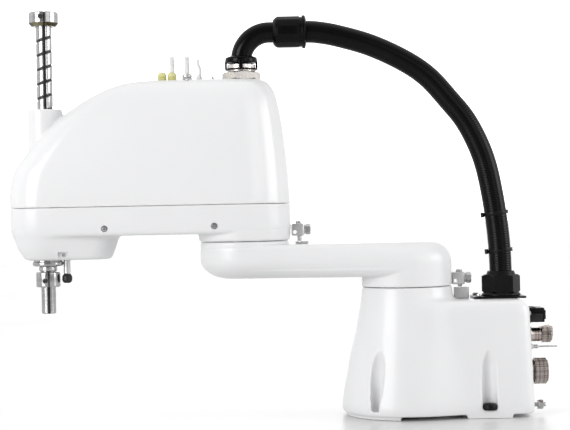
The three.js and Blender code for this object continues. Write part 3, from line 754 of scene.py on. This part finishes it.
def make_base_gland():
    low, high = box_of("gland_gasket")
    plate = skin("gland_plate", [box_ring(z, low.x, high.x, 30, 6) for z in (low.z, high.z)])
    stand_for(bevel(plate, 0.5, 2), "gland_gasket")
    for i in (1, 2):
        node = f"gasket_screw_{i}"
        middle = middle_of(node)
        stand_for(moved(socket_screw(f"{node}_head", 4, 3.2), middle.x, middle.y, box_of(node)[0].z), node)
    foot = high.z + 0.3
    hose = HOSE_DIAMETER / 2 + 0.2
    collar = [[hose, foot], [27, foot], [27, foot + 2.2], [25, foot + 4], [22, foot + 5], [22, 186],
              [20.5, 190], [18.5, 195.5], [hose, 195.5], [hose, foot]]
    body = lathe("base_gland", collar, 0.8)
    nut = cut(hexagon("gland_nut", 46.5, foot + 3.6, 190.5, 2.4), disc("inside", 21, foot, 196))
    stand_for(moved(gather(body, nut), CONDUIT_X), "conduit_gland_base")


def make_arm_gland():
    seat = GLAND_SEAT
    body = [[0, seat], [23, seat], [23, seat + 8.4], [22, seat + 9.6], [22, seat + 11], [19.4, seat + 11.6],
            [19.4, seat + 21.2], [0, seat + 21.2]]
    body = lathe("arm_gland", body, 0.6)
    nut = spun(hexagon("gland_nut", 47.5, seat + 0.2, seat + 10.5, 1.8), 12)
    stand_for(moved(gather(body, nut), J2_X), "conduit_gland_arm", material="nickel")


ELBOW_RADIUS = 14.5
ELBOW_BEND_Z = 495.3  # where the elbow starts to bend
CAGE_BOTTOM, CAGE_TOP = 482, 501.5


def make_elbow():
    """The swivelling elbow, with a cage that clips round the gland."""
    bend = ELBOW_AXIS_Z - ELBOW_BEND_Z
    arc = [polar(bend, math.pi - math.pi / 2 * i / 30, J2_X + bend, ELBOW_BEND_Z) for i in range(31)]
    path = evenly([*arc, [COUPLING_START + 5, ELBOW_AXIS_Z]], 1.6)[0]
    tube = swept("elbow", path, lambda i: ELBOW_RADIUS, 56)
    bottom, top = CAGE_BOTTOM, CAGE_TOP
    cage = [[14.2, top], [17, top], [21.6, top - 2], [22.4, top - 4], [22.4, top - 9], [20.2, top - 9.6],
            [14.2, top - 7], [14.2, top]]
    collar = lathe("collar", cage, 0.6)
    ring = [[19.9, bottom], [22.6, bottom], [22.6, bottom + 2.2], [19.9, bottom + 2.2], [19.9, bottom]]
    ring = lathe("ring", ring, 0.5)
    legs = [spun(block("leg", (20, 22.8), (-2.6, 2.6), (bottom + 1, top - 6), 0.7), 90 * quarter)
            for quarter in range(4)]
    stand_for(gather(tube, moved(gather(collar, ring, *legs), J2_X)), "conduit_elbow")


def make_coupling():
    length = COUPLING_END - COUPLING_START
    hose = HOSE_DIAMETER / 2 + 0.2
    body = [[14.6, 0], [17, 0], [21, 4], [21, length - 5], [23.2, length - 4.4], [23.2, length - 0.6],
            [22.4, length], [18.5, length + 1.5], [hose, length + 1.5], [hose, length - 12],
            [14.6, length - 14], [14.6, 0]]
    body = lathe("coupling", body, 0.6)
    grip = prism("grip", polygon(22.3, 12, 15), 5.5, length - 8)
    grip = bevel(cut(grip, disc("inside", 20.2, 0, length)), 0.7, 2, 20)
    notch = block("notch", (-26, -20), (-3, 3), (length - 5, length + 2))
    stand_for(moved(to_x(gather(cut(body, notch), grip)), COUPLING_START, 0, ELBOW_AXIS_Z), "hose_coupling")


# ---- First arm ----
def make_arm1():
    heights = [192, 192.5, 193.2, 194.4, 196, 198, 200.5, 204, 208, 212, 216, 220, 223, 226, 229, 231, 233,
               234.5, 235.8, 236.8, 237.6, 238.1, 238.5]
    levels = []
    for z in heights:
        rear = HUB_RADIUS - rounded_in(204 - z, 12, 12) - rounded_in(z - 211, 28, 28)
        front = 62 - rounded_in(220 - z, 28, 40) - rounded_in(z - 232, 6.6, 6.6)
        levels.append((z, 0, rear, J2_X, front))
    beam = arm_loft("arm1_shell", levels)
    hub = disc("hub", HUB_RADIUS, 177.4, 211, 96)
    seat = turned("seat", [[0, 236], [61.5, 236], [61.5, 242.2], [60.4, 243.4], [0, 243.4]], 96)
    hub_bore = disc("hub_bore", 34.3, 170, 200.3)
    end_bore = disc("end_bore", 30.3, 221.7, 250)
    body = cut(fuse(beam, hub, moved(seat, J2_X)), hub_bore, moved(end_bore, J2_X))
    stand_for(cast(body, 1.3, 3), "arm1_casting", crease=60)


# ---- Second arm ----
TRAY_REAR, TRAY_FRONT = 65, 51  # the casting's radii round the second joint and round the quill
NOSE_X = -275  # the quill's axis, from the second joint's
# The cover's outline: height, rear centre, rear radius, front centre and front radius, with both centres
# measured from the second joint's axis.
COVER_LEVELS = [[295.3, 0, 65, -275, 51], [317, -0.4, 64.6, -275, 51], [344, -1, 63.4, -270, 50],
                [368, -1.5, 61.8, -256, 47.5], [395, -2.5, 59.6, -238, 44], [419, -3, 56.6, -215, 41],
                [434, -3, 53.4, -196, 38], [446, -2, 49.6, -181, 34], [457, -1, 43.6, -164, 29],
                [464, 0, 37, -150, 23], [468, 0, 28.4, -136, 16], [470, -4, 17, -115, 10]]
COVER_WALL = 4.5  # before the casting's surface is softened
SLEEVE_TOP = 432
SIDE_SCREWS = [(-414, 265), (-264, 266)]  # X and Z of the screws low on both sides of the casting
SIDE_SCREW_SINK = 4.6
NOSE_SCREW_X, NOSE_SCREW_Z = -474, 229.6


def side_of_tray(x):
    """How far the casting's side stands from the middle plane at X."""
    share = (J2_X - x) / (J2_X - QUILL_X)
    return TRAY_REAR + (TRAY_FRONT - TRAY_REAR) * share


def make_arm2_casting():
    tray_levels = []
    for z in [255, 255.6, 256.4, 257.5, 259, 260.5, 262, 264, 266, 268, 270, 272, 274, 276, 280, 288, SEAM]:
        rear = TRAY_REAR - rounded_in(260 - z, 5, 5)
        tray_levels.append((z, 0, rear, NOSE_X, TRAY_FRONT - rounded_in(278 - z, 26, 7)))
    tray_levels.append((SEAM + 16, 0, TRAY_REAR, NOSE_X, TRAY_FRONT))
    tray = arm_loft("arm2_shell", tray_levels)
    boss = turned("boss", [[0, ARM2_BOTTOM], [61.3, ARM2_BOTTOM], [63.3, 246.4], [64.3, 258], [0, 258]], 96)
    nose_levels = smoothed([[NOSE_BOTTOM - 1, -215, 27.6, NOSE_X, 30], [226, -215, 30.5, NOSE_X, 33.2],
                            [238, -214, 34, NOSE_X, 40.6], [250, -213, 37, NOSE_X, 45],
                            [258, -213, 39, NOSE_X, 47.2], [266, -212, 41, NOSE_X, 49]], 5)
    nose = arm_loft("nose", nose_levels)
    inside = arm_loft("inside", [(262, 0, 60, NOSE_X, 44.5), (276, 0, 60, NOSE_X, 46),
                                 (SEAM + 2, 0, 60, NOSE_X, 46)])
    drive_bore = disc("drive_bore", 44.3, 240, 263)
    nut_bore = moved(disc("nut_bore", 19.3, 220, 263), QUILL_X - J2_X)
    above = block("above", (-400, 120), (-100, 100), (SEAM, SEAM + 40))
    blend = cut(cast(fuse(tray, nose), 2.0, 24), above)
    body = moved(cut(fuse(blend, boss), inside, drive_bore, nut_bore), J2_X)
    tools, screws = [], []
    for side in (-1, 1):
        for x, z in SIDE_SCREWS:
            y = side * side_of_tray(x)
            tools.append(moved(to_side(disc("recess", 4.6, -4.5, 6, 32), side), x, y, z))
            screw = to_side(socket_screw("side_screws", 3.5, 3), side)
            screws.append(moved(screw, x, y - side * SIDE_SCREW_SINK, z))
        notch_y = side * 31
        tools.append(block("notch", (NOSE_SCREW_X - 7, NOSE_SCREW_X + 7),
                           sorted((notch_y, notch_y + side * 30)), (226, 234)))
        screw = to_side(socket_screw("side_screws", 2.6, 2.4), side)
        screws.append(moved(screw, NOSE_SCREW_X, notch_y - side * 0.5, NOSE_SCREW_Z))
    stand_for(cut(cast(body, 1.4, 3), *tools), "arm2_casting", crease=50)
    dress(gather(*screws), "arm2", "steel")


def make_cover():
    levels = smoothed(COVER_LEVELS, 6)
    bottom = COVER_LEVELS[0][0]
    outside = arm_loft("cover_shell", [[bottom - 16, *COVER_LEVELS[0][1:]], *levels], 48)
    outside = cut(cast(outside, 2.2, 22), block("below", (-400, 120), (-100, 100), (bottom - 40, bottom)))
    hollow = [[z - COVER_WALL, rear_x, rear - COVER_WALL, front_x, front - COVER_WALL]
              for z, rear_x, rear, front_x, front in levels]
    hollow[0][0] = bottom - 6
    inside = arm_loft("inside", hollow, 48)
    seat = disc("seat", 29, GLAND_SEAT - 8, GLAND_SEAT - 0.3)
    sleeve = moved(disc("sleeve", 24, 342, SLEEVE_TOP, 96), QUILL_X - J2_X)
    bore = moved(disc("bore", 22, 335, SLEEVE_TOP + 2, 96), QUILL_X - J2_X)
    seat_cut = disc("seat_cut", 27.8, GLAND_SEAT - 0.3, COVER_TOP + 4)
    body = cut(fuse(cut(outside, inside), seat, sleeve), bore, seat_cut)
    stand_for(moved(cast(body, 1.5, 3), J2_X), "arm2_cover", "quill_sleeve", crease=60)
    screws = [moved(socket_screw("cover_screws", 2.6, 1.6), x, y, COVER_TOP - sink)
              for x, y, sink in ((-353, 0, 0.6), (-300, 22, 2.8), (-300, -22, 2.8))]
    dress(gather(*screws), "arm2", "steel")


def make_push_fitting(node, material):
    """A push-in air fitting: hexagon foot, collar and release ring."""
    low, high, middle = place_of(node)
    radius, height = (high.x - low.x) / 2, high.z - low.z
    body = [[0, 0], [radius * 0.8, 0], [radius * 0.8, height * 0.34], [radius, height * 0.4],
            [radius, height * 0.76], [radius * 0.86, height * 0.84], [radius * 0.7, height * 0.86],
            [radius * 0.74, height], [3.3, height], [3.3, height * 0.7], [0, height * 0.7]]
    body = lathe(f"{node}_body", body, 0.4, 48)
    nut = hexagon("nut", radius * 1.78, 0, height * 0.32, 0.4)
    stand_for(moved(gather(body, nut), middle.x, middle.y, low.z), node, material=material)


def make_top_fittings():
    for node in ("air_fitting_1", "air_fitting_2"):
        make_push_fitting(node, "fitting_plastic")
    make_push_fitting("port_fitting", "cast_metal")
    for node, bend in (("air_tube", 0.6), ("port_tube", 0.3)):
        low, high, middle = place_of(node)
        radius = (high.x - low.x) / 2
        path = [[middle.x + bend * math.sin(k / 16 * math.pi), low.z - 2 + (high.z - low.z + 2) * k / 16]
                for k in range(17)]
        tube = swept(f"{node}_piece", path, lambda i: radius, 32)
        bore = disc("bore", radius - 1.1, high.z - 9, high.z + 3, 24)
        stand_for(moved(cut(tube, moved(bore, middle.x + 0.05)), 0, middle.y), node)
    middle = middle_of("signal_stub")
    foot = lathe("signal_stub_piece", [[0, 0], [4, 0], [4, 3.6], [3, 5.6], [0, 5.6]], 0.5, 40)
    nut = hexagon("nut", 7.2, 0.4, 3.0, 0.4)
    path = [[1.8 * math.sin(k / 20 * math.pi * 1.7), 4 + 24 * k / 20] for k in range(21)]
    wire = swept("wire", path, lambda i: 2.1, 24)
    stub = moved(gather(foot, nut, wire), middle.x - 1.2, middle.y, box_of("signal_stub")[0].z)
    stand_for(stub, "signal_stub", material="tube_plastic")
    post = lathe("earth_post", [[0, 0], [3.3, 0], [3.3, 2.4], [2, 3], [2, 5], [0, 5]], 0.4, 32)
    dress(moved(post, -266, 0, COVER_TOP - 0.4), "arm2", "steel")


# ---- Quill ----
SHAFT_RADIUS = 11
SHAFT_END_RADIUS = 10
SHOULDER_Z = 206.7
SPLINE_ANGLE = -79  # degrees round the shaft from +X
SPLINE_HALF = 2.5
SPLINE_DEPTH = 1.2
GROOVE_LEAD = 20
GROOVE_PHASE = 14.9  # height at which the groove passes +X, within one lead
GROOVE_HALF = 2.0
GROOVE_DEPTH = 1.1
GROOVE_BOTTOM, GROOVE_TOP = 226, 546
# Faces cut deeper than this get the painted groove shade.
PAINTED_SHADE_DEPTH = 0.45  # faces cut deeper than this look dark


def groove_depth(angle, z, radius):
    """How deep the shaft is cut at an angle and height by its two spline ways and its ball track."""
    depth = 0.0
    for way in (SPLINE_ANGLE, SPLINE_ANGLE + 180):
        away = abs((math.degrees(angle) - way + 180) % 360 - 180)
        off = math.radians(away) * radius
        if off < SPLINE_HALF:
            depth = max(depth, SPLINE_DEPTH * (1 - (off / SPLINE_HALF) ** 4))
    if GROOVE_BOTTOM < z < GROOVE_TOP:
        turn = GROOVE_PHASE + GROOVE_LEAD * math.degrees(angle) / 360
        off = abs((z - turn + GROOVE_LEAD / 2) % GROOVE_LEAD - GROOVE_LEAD / 2) * 0.95
        if off < GROOVE_HALF:
            depth = max(depth, GROOVE_DEPTH * math.sqrt(1 - (off / GROOVE_HALF) ** 2))
    return depth


def make_shaft():
    low, high = box_of("quill_shaft")
    sides = 150
    heights = [low.z, low.z + 0.3, low.z + 0.8]
    heights += [low.z + 2 + k * 3 for k in range(19)] + [SHOULDER_Z - 0.01, SHOULDER_Z, 210, 216, 222]
    heights += [228 + k * 0.75 for k in range(422)]
    heights += [GROOVE_TOP, 550, 560, high.z - 1, high.z - 0.4, high.z]
    last = len(heights) - 1
    ends = {0: 1.2, 1: 0.5, 2: 0.1, last - 2: 0.1, last - 1: 0.5, last: 1.2}
    points, cuts = [], []
    for k, z in enumerate(heights):
        radius = SHAFT_RADIUS if z >= SHOULDER_Z else SHAFT_END_RADIUS
        for i in range(sides):
            angle = 2 * math.pi * i / sides
            depth = groove_depth(angle, z, radius)
            cuts.append(depth)
            points.append((*polar(radius - max(depth, ends.get(k, 0.0)), angle), z))
    faces, painted_shade_faces = [list(range(sides)), list(range(len(points) - sides, len(points)))], [False, False]
    for k in range(last):
        for i in range(sides):
            a, b = k * sides + i, k * sides + (i + 1) % sides
            face = [a, b, b + sides, a + sides]
            faces.append(face)
            painted_shade_faces.append(sum(cuts[corner] for corner in face) / 4 > PAINTED_SHADE_DEPTH)
    shaft = add_object("quill", points, faces)
    stand_for(moved(shaft, QUILL_X), "quill_shaft", crease=50)
    # The faces deep in the cuts get a second, near-black material: painted shade in the grooves.
    shaft.data.materials.append(MATERIALS["painted_groove_shade"])
    for polygon_face, dark in zip(shaft.data.polygons, painted_shade_faces):
        polygon_face.material_index = int(dark)


def make_clamp_ring(node, profile, screw_angle, screw_z):
    """A split ring on the quill with its clamp screw sunk beside the slit."""
    low, high = box_of(node)
    ring = lathe(f"{node}_piece", profile, 0.7, 96)
    outer = (high.x - low.x) / 2
    slit = block("slit", (6, outer + 4), (-0.9, 0.9), (low.z - 2, high.z + 2))
    slit = spun(slit, SPLINE_ANGLE)
    pocket = spun(moved(to_x(disc("pocket", 3.8, 0, 12, 32)), outer - 3.2, 0, screw_z), screw_angle)
    ring = cut(ring, slit, pocket)
    stand_for(moved(ring, QUILL_X), node)
    screw = moved(to_x(socket_screw("screw", 3.1, 2.6)), outer - 3.3, 0, screw_z)
    return moved(spun(screw, screw_angle), QUILL_X)


def paint_bevel_shade(ring):
    """Paints shade on the bevel round a ring's lower edge: its faces that turn downwards get a dark colour."""
    ring.data.materials.append(MATERIALS["painted_shade_steel"])
    for face in ring.data.polygons:
        # Faces turned downwards get the painted shade.
        face.material_index = int(-0.95 < face.normal.z < -0.3)


def make_quill():
    make_shaft()
    top = [[11.1, 548], [16.5, 548], [20.5, 552.5], [20.5, 566.6], [19.2, 568], [11.1, 568], [11.1, 548]]
    screw = make_clamp_ring("top_stop_ring", top, -94, 561)
    # Painted shade under the top ring's lower bevel.
    paint_bevel_shade(bpy.data.objects["top_stop_ring_piece"])
    screw.name = "top_ring_screw"
    dress(screw, "quill", "bolt_black")
    collar = [[10.1, 185], [15.6, 185], [16.8, 186.2], [16.8, 205.2], [15.6, 206.4], [10.1, 206.4],
              [10.1, 185]]
    screw = make_clamp_ring("stop_collar", collar, -97, 194)
    screw.name = "collar_clamp_screw"
    stand_for(screw, "collar_screw", material="bolt_black")


def make_nose_fittings():
    flange = [[11.8, 214.2], [19.6, 214.2], [21.4, 216], [21.4, 219.6], [20.2, 220.4], [20.2, 223.1],
              [11.8, 223.1], [11.8, 214.2]]
    flange = lathe("nose_ring", flange, 0.5, 96)
    stand_for(moved(flange, QUILL_X), "nose_flange")
    seal = [[11.3, 207.2], [12, 207.2], [12.6, 208], [12.6, 212.8], [12, 213.7], [11.3, 213.7], [11.3, 207.2]]
    stand_for(moved(lathe("quill_lip_seal", seal, 0.5), QUILL_X), "quill_seal")
    post = middle_of("stop_post")
    profile = [[0, 202.8], [4.2, 202.8], [4.8, 203.6], [4.8, 221.4], [4.2, 223.1], [0, 223.1]]
    stand_for(moved(lathe("stop_pillar", profile, 0.3, 48), post.x), "stop_post")
    head = [[0, 190.4], [3.2, 190], [5.6, 191.2], [7, 194], [7, 199.4], [5, 202.6], [0, 202.6]]
    head = lathe("stop_screw", head, 0.6, 48)
    head = cut(head, prism("socket", polygon(2.4, 6), 188, 193.4))
    stand_for(moved(head, post.x), "stop_post_screw", material="bolt_black")


# ---- Drive pieces inside the covers ----
def belt_line(centre, pulley, radii, count):
    """Points round two pulleys in plan, `count` to each arc."""
    span = math.hypot(pulley[0] - centre[0], pulley[1] - centre[1])
    turn = math.atan2(pulley[1] - centre[1], pulley[0] - centre[0]) + math.pi
    ring = [Vector(point[:2]) for point in arm_ring(0, 0, radii[0], -span, radii[1], count)]
    spin = Matrix.Rotation(turn, 2)
    return [tuple(spin @ point + Vector(centre)) for point in ring]


def make_belts():
    """Toothed belts, with teeth all along their inside."""
    for node, motor in (("j3_belt", "j3_motor_pulley"), ("j4_belt", "j4_motor_pulley")):
        low, high = box_of(node)
        pulley = middle_of(motor)
        centre, away = (QUILL_X, 0), (pulley.x, pulley.y)
        rings = [belt_line(centre, away, radii, 30) for radii in ((22.5, 10.5), (24, 12))]
        outer = prism(f"{node}_band", rings[1], low.z, high.z)
        band = cut(outer, prism("inside", rings[0], low.z - 1, high.z + 1))
        teeth_at = evenly(rings[0] + rings[0][:1], 3.0)[0]
        teeth = []
        for (x0, y0), (x1, y1) in zip(teeth_at, teeth_at[1:]):
            tooth = block("tooth", (-0.6, 0.6), (-0.3, 0.3), (low.z + 0.3, high.z - 0.3))
            angle = math.degrees(math.atan2(y1 - y0, x1 - x0))
            teeth.append(moved(spun(tooth, angle), x0, y0))
        stand_for(gather(band, *teeth), node)


def finish_cad_nodes():
    """The inner CAD pieces keep their shape and get the same finishes."""
    turned_nodes = ("spline_nut", "ball_nut", "j1_output_hub", "j2_output_hub", "j1_gear_housing",
                    "j2_gear_housing")
    for node, obj in frame["nodes"].items():
        if obj.hide_render:
            continue
        obj.data.materials.clear()
        obj.data.materials.append(MATERIALS["turned_steel" if node in turned_nodes else SLOT_OF[node]])
        shade(obj, 28)


# ---- Stage ----
# The studio's brightness from straight behind the photographer's place (-1) to straight ahead (1).
WORLD = [(-0.75, 0.25), (0.1, 1.12), (0.5, 0.95), (0.9, 0.8), (0.955, 2.0)]
# Each light's name, place in metres, size in metres and power in watts.
LIGHTS = [("key", (-2.9, -2.9, 1.2), 2.1, 84), ("fill", (1.4, -2.1, 1.1), 1.5, 8),
          ("side", (2.4, -0.5, 0.9), 1.4, 24), ("top", (-0.1, -0.1, 2.4), 2.0, 2)]
LIT_POINT = (-0.2, 0, 0.28)
FLOOR_HALF = 40000
FLOOR_Z = -0.3


def make_stage():
    scene = bpy.context.scene
    scene.view_settings.view_transform = "Standard"
    corners = [(x * FLOOR_HALF, y * FLOOR_HALF, FLOOR_Z) for x, y in ((-1, -1), (1, -1), (1, 1), (-1, 1))]
    floor = add_object("floor", corners, [[0, 1, 2, 3]])
    floor.data.materials.append(surface("floor_white", grey(0.66), grey(0.67), (0.3, 0.34), patch=0.5,
                                        Specular_IOR_Level=1.0, IOR=1.8))
    world = bpy.data.worlds.new("studio")
    scene.world = world
    world.use_nodes = True
    tree = world.node_tree
    place = tree.nodes.new("ShaderNodeTexCoord")
    across = tree.nodes.new("ShaderNodeSeparateXYZ")
    ramp = tree.nodes.new("ShaderNodeValToRGB")
    tree.links.new(place.outputs["Generated"], across.inputs["Vector"])
    half = tree.nodes.new("ShaderNodeMapRange")
    half.inputs["From Min"].default_value = -1
    tree.links.new(across.outputs["Y"], half.inputs["Value"])
    tree.links.new(half.outputs["Result"], ramp.inputs["Fac"])
    tree.links.new(ramp.outputs["Color"], tree.nodes["Background"].inputs["Color"])
    stops = ramp.color_ramp.elements
    for stop, (facing, value) in zip((stops[0], stops[1]), (WORLD[0], WORLD[-1])):
        stop.position = (facing + 1) / 2
        stop.color = (*grey(value), 1)
    for facing, value in WORLD[1:-1]:
        stops.new((facing + 1) / 2).color = (*grey(value), 1)
    for light in LIGHTS:
        add_light(*light)


def add_light(name, place, size, power):
    """A square soft light that faces the middle of the robot."""
    lamp = bpy.data.lights.new(name, "AREA")
    lamp.size = size
    lamp.energy = power
    obj = link(name, lamp)
    obj.location = place
    obj.rotation_euler = (Vector(LIT_POINT) - Vector(place)).to_track_quat("-Z", "Y").to_euler()


make_materials()
make_camera()
make_hose()
make_base_shell()
make_rear_panel()
make_connectors()
make_plugs()
make_base_gland()
make_arm1()
make_zero_lug("j1", "zero_lug_arm1", "zero_bolt_arm1", "zero_block_base", 1.0)
make_zero_lug("j2", "zero_lug_arm2", "zero_bolt_arm2", "zero_pad_arm1", 0.6)
make_arm2_casting()
make_cover()
make_top_fittings()
make_arm_gland()
make_elbow()
make_coupling()
make_quill()
make_nose_fittings()
make_belts()
finish_cad_nodes()
make_stage()
